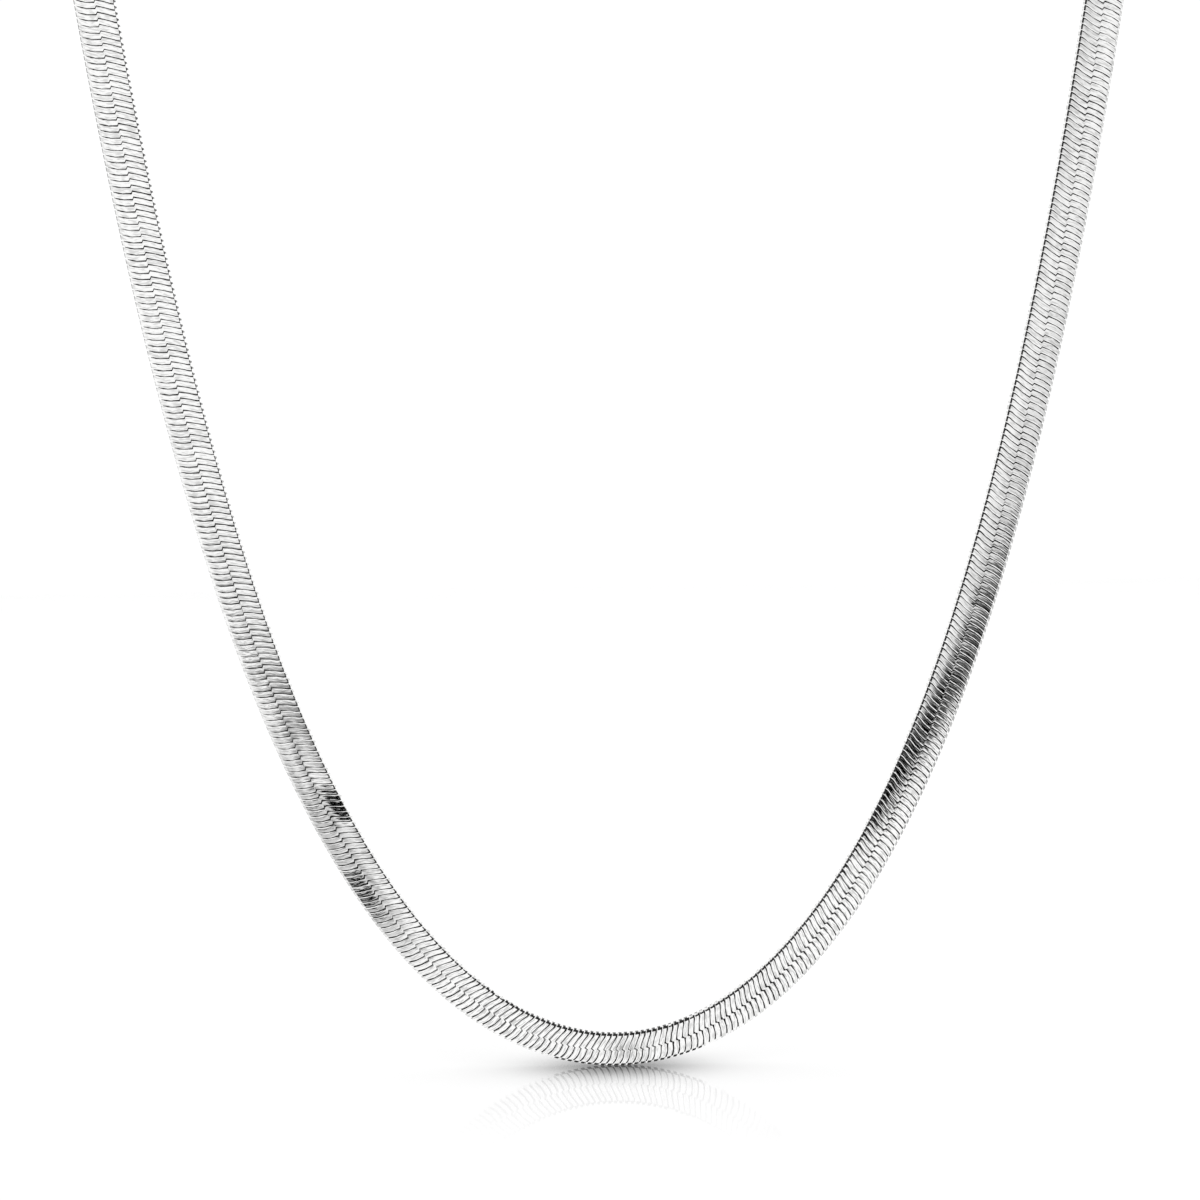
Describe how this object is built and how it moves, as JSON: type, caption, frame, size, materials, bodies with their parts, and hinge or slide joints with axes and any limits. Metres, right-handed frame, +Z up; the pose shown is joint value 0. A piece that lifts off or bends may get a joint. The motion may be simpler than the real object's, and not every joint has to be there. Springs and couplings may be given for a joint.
{
  "type": "herringbone chain necklace",
  "caption": "Flat woven chain necklace held in the open loop that it takes when worn, with an end cap, a ring and a plain hook clasp at the nape.",
  "frame": {"origin": "on the neck's centre line, level with the clasp at the nape, in the plane that the front stretch hangs in", "axes": "+Z up, -Y towards the front, +X to the viewer's right"},
  "size_m": [0.1157, 0.0492, 0.1405],
  "materials": {
    "chain_silver": "polished silver, flat slats",
    "fittings_silver": "polished cast silver"
  },
  "bodies": {
    "root": {"herringbone_chain": "chain_silver", "end_cap_left": "fittings_silver", "end_cap_right": "fittings_silver", "jump_ring_left": "fittings_silver", "jump_ring_right": "fittings_silver", "clasp": "fittings_silver"}
  },
  "joints": []
}
